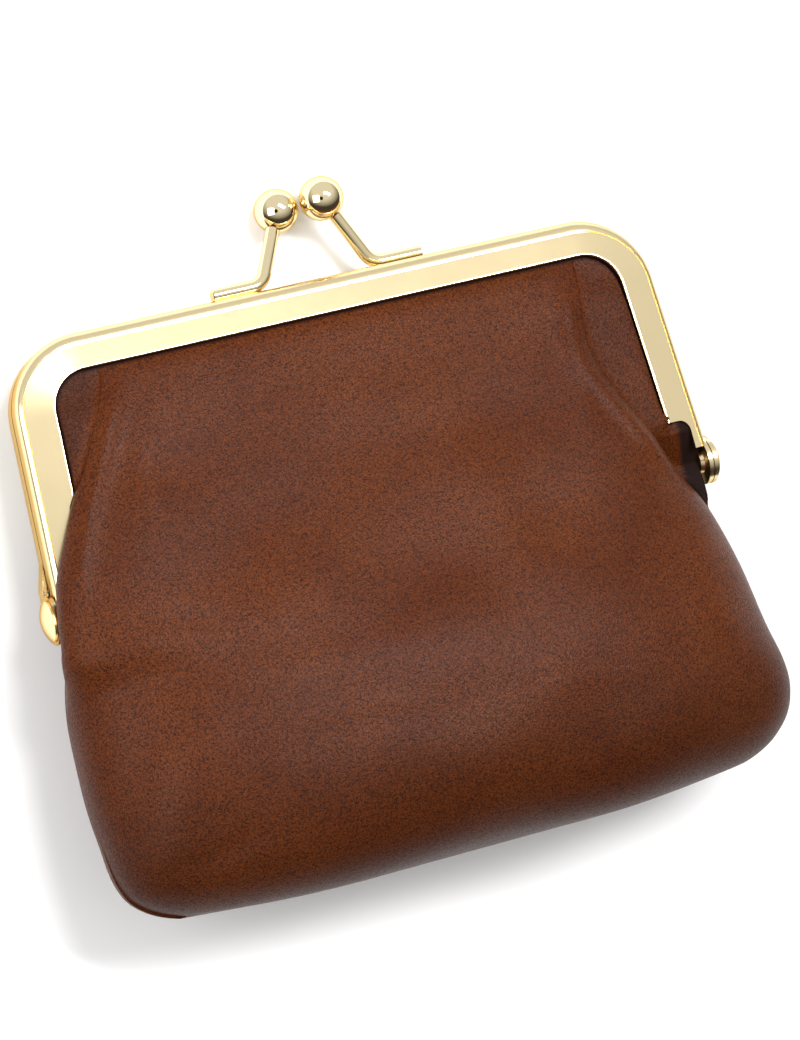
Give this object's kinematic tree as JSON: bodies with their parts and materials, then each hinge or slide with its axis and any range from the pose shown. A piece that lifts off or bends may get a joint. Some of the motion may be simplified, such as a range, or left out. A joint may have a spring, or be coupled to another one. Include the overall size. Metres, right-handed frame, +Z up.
{
  "type": "kiss-lock coin purse",
  "caption": "Kiss-lock coin purse: hinged metal frame with crossing ball clasps on a gathered, boxy leather pouch, lying on its back.",
  "frame": {"origin": "centre of the purse's outline on the ground it lies on", "axes": "+X along the mouth and the hinge line to the right seen from the front, +Y from the bag's bottom to the clasp, +Z up out of the front panel"},
  "size_m": [0.105, 0.0992, 0.034],
  "materials": {
    "gold": "pale champagne gold plate, soft satin polish",
    "gold_rivet": "pale champagne gold plate, polished",
    "gold_clasp": "pale champagne gold plate, mirror polished",
    "leather": "fine pebbled grain, satin brown",
    "lining": "plain dark brown twill",
    "paper": "twisted kraft paper cord",
    "thread": "dark brown polyester thread"
  },
  "bodies": {
    "back_half": {"back_frame": "gold", "left_rivet": "gold_rivet", "right_rivet": "gold_rivet", "back_clasp_stem": "gold_clasp", "back_clasp_ball": "gold_clasp", "front_panel": "leather", "back_panel": "leather", "front_lining": "lining", "back_lining": "lining", "back_channel_cord": "paper", "left_seam_thread": "thread", "right_seam_thread": "thread", "bottom_seam_thread": "thread", "lining_seam_thread": "thread"},
    "front_half": {"front_frame": "gold", "front_clasp_stem": "gold_clasp", "front_clasp_ball": "gold_clasp", "front_panel_hem": "leather", "front_lining_hem": "lining", "front_channel_cord": "paper"}
  },
  "joints": [
    {"name": "mouth_hinge", "type": "hinge", "parent": "back_half", "child": "front_half", "pos_m": [0, -0.00277, 0.01209], "axis": [1, 0, 0], "range_deg": [0, 80]}
  ]
}
